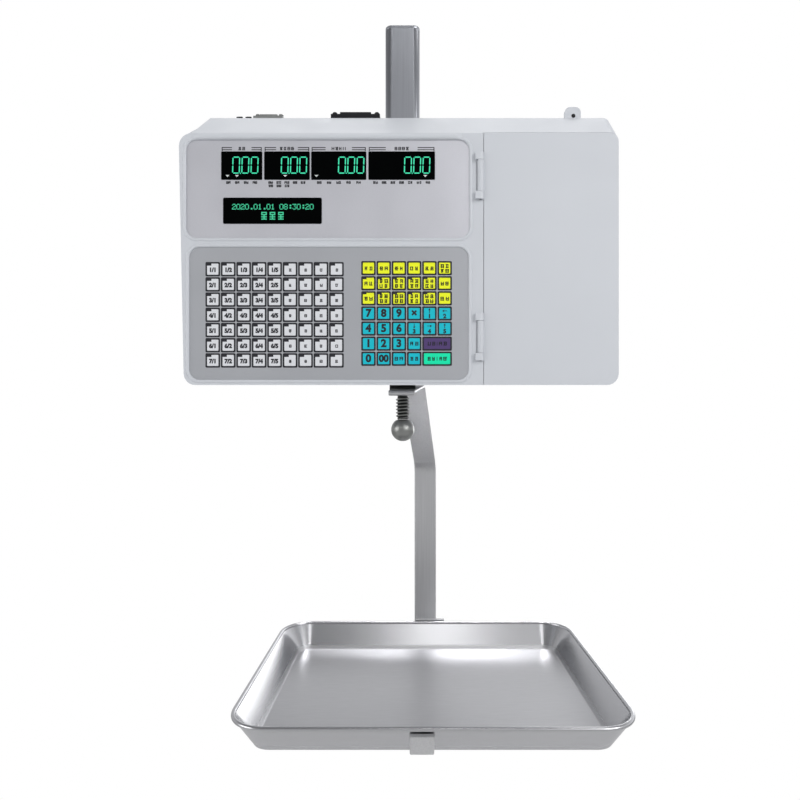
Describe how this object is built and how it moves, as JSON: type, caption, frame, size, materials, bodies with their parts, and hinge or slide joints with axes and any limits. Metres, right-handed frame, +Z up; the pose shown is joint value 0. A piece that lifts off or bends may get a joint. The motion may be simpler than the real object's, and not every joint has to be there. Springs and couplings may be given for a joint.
{
  "type": "retail price scale",
  "caption": "Hanging label-printing price scale: head on a square pole with display, keypad and side-hinged printer door, and a steel pan on a cranked strap.",
  "frame": {"origin": "centre of the pole's closed top end, where the scale hangs", "axes": "+Z up along the pole, keypad and display face -Y, +X to the printer door's side"},
  "size_m": [0.4207, 0.2807, 0.694],
  "materials": {
    "housing_plastic": "fine moulded grain, pale grey",
    "display_film": "satin silver film",
    "keypad_film": "satin silver-grey film with printed keys",
    "dark_window": "smoked gloss",
    "satin_steel": "satin stainless",
    "pan_steel": "fine satin stainless with a bright rolled rim",
    "dark_steel": "dark polished steel",
    "cast_aluminium": "machined",
    "circuit_board": "solder-mask green",
    "black_plastic": "moulded black",
    "rubber": "matte",
    "label_paper": "smooth",
    "nylon": "natural nylon"
  },
  "bodies": {
    "head": {"cell_spacer": "satin_steel", "chassis_plate": "satin_steel", "clock_tube": "dark_window", "clock_window": "dark_window", "digit_tube": "dark_window", "display_board": "circuit_board", "display_panel": "display_film", "drawer_jack": "black_plastic", "exit_chute": "satin_steel", "feed_motor": "dark_steel", "front_housing": "housing_plastic", "guide_pin": "satin_steel", "hanger_block": "dark_steel", "head_pivot": "satin_steel", "hinge_pin_lower": "satin_steel", "hinge_pin_upper": "satin_steel", "keypad_circuit": "circuit_board", "keypad_overlay": "keypad_film", "label_spindle": "nylon", "load_beam": "satin_steel", "load_cell": "cast_aluminium", "main_board": "circuit_board", "network_jack": "black_plastic", "pan_stop": "satin_steel", "pan_strap": "satin_steel", "parallel_port": "black_plastic", "pole_top_plate": "satin_steel", "pole_tube": "satin_steel", "power_inlet": "black_plastic", "power_supply": "cast_aluminium", "printer_plate": "satin_steel", "rear_housing": "housing_plastic", "rear_screw_lower_left": "satin_steel", "rear_screw_lower_right": "satin_steel", "rear_screw_upper_left": "satin_steel", "rear_screw_upper_right": "satin_steel", "rewind_belt": "rubber", "serial_port": "satin_steel", "switch_body": "black_plastic", "tare_window": "dark_window", "total_window": "dark_window", "unit_price_window": "dark_window", "weight_window": "dark_window"},
    "door": {"printer_door": "housing_plastic"},
    "pan": {"pan": "pan_steel"},
    "clamp_screw": {"clamp_stud": "dark_steel", "ball_knob": "dark_steel"},
    "rocker": {"power_rocker": "black_plastic"},
    "print_head": {"head_bracket": "cast_aluminium", "thermal_head": "dark_steel"},
    "label_roll": {"label_roll": "label_paper"},
    "platen": {"platen_shaft": "satin_steel", "platen_roller": "rubber", "platen_gear": "nylon", "drive_pulley": "nylon"},
    "motor_rotor": {"motor_pinion": "nylon", "motor_shaft": "satin_steel"},
    "rewind": {"rewind_spool": "nylon", "rewind_pulley": "nylon"},
    "guide": {"guide_roller": "nylon"}
  },
  "joints": [
    {"name": "door_swing", "type": "hinge", "parent": "head", "child": "door", "pos_m": [0.0745, -0.058, -0.2465], "axis": [0, 0, -1], "range_deg": [0, 110]},
    {"name": "pan_lift", "type": "slide", "parent": "head", "child": "pan", "axis": [0, 0, 1], "range_m": [0, 0.15]},
    {"name": "clamp_turn", "type": "hinge", "parent": "head", "child": "clamp_screw", "pos_m": [0, 0, -0.39], "axis": [0, 0, 1], "continuous": true},
    {"name": "power_rock", "type": "hinge", "parent": "head", "child": "rocker", "pos_m": [-0.178, 0.0555, -0.328], "axis": [-1, 0, 0], "range_deg": [0, 18]},
    {"name": "head_lift", "type": "hinge", "parent": "head", "child": "print_head", "pos_m": [0.152, 0, -0.23], "axis": [0, -1, 0], "range_deg": [0, 25], "stiffness_Nm_per_rad": 0.05, "springref_deg": -17.19},
    {"name": "roll_spin", "type": "hinge", "parent": "head", "child": "label_roll", "pos_m": [0.128, 0, -0.19], "axis": [0, 1, 0], "continuous": true},
    {"name": "platen_spin", "type": "hinge", "parent": "head", "child": "platen", "pos_m": [0.182, 0, -0.252], "axis": [0, 1, 0], "continuous": true},
    {"name": "motor_spin", "type": "hinge", "parent": "head", "child": "motor_rotor", "pos_m": [0.16503, 0, -0.23503], "axis": [0, 1, 0], "continuous": true},
    {"name": "rewind_spin", "type": "hinge", "parent": "head", "child": "rewind", "pos_m": [0.128, 0, -0.31], "axis": [0, 1, 0], "continuous": true},
    {"name": "guide_spin", "type": "hinge", "parent": "head", "child": "guide", "pos_m": [0.14, 0, -0.241], "axis": [0, 1, 0], "continuous": true}
  ],
  "couplings": [
    {"joint": "platen_spin", "follows": "roll_spin", "ratio": -5},
    {"joint": "motor_spin", "follows": "roll_spin", "ratio": 10},
    {"joint": "rewind_spin", "follows": "roll_spin", "ratio": -2.5},
    {"joint": "guide_spin", "follows": "roll_spin", "ratio": 8.75}
  ]
}
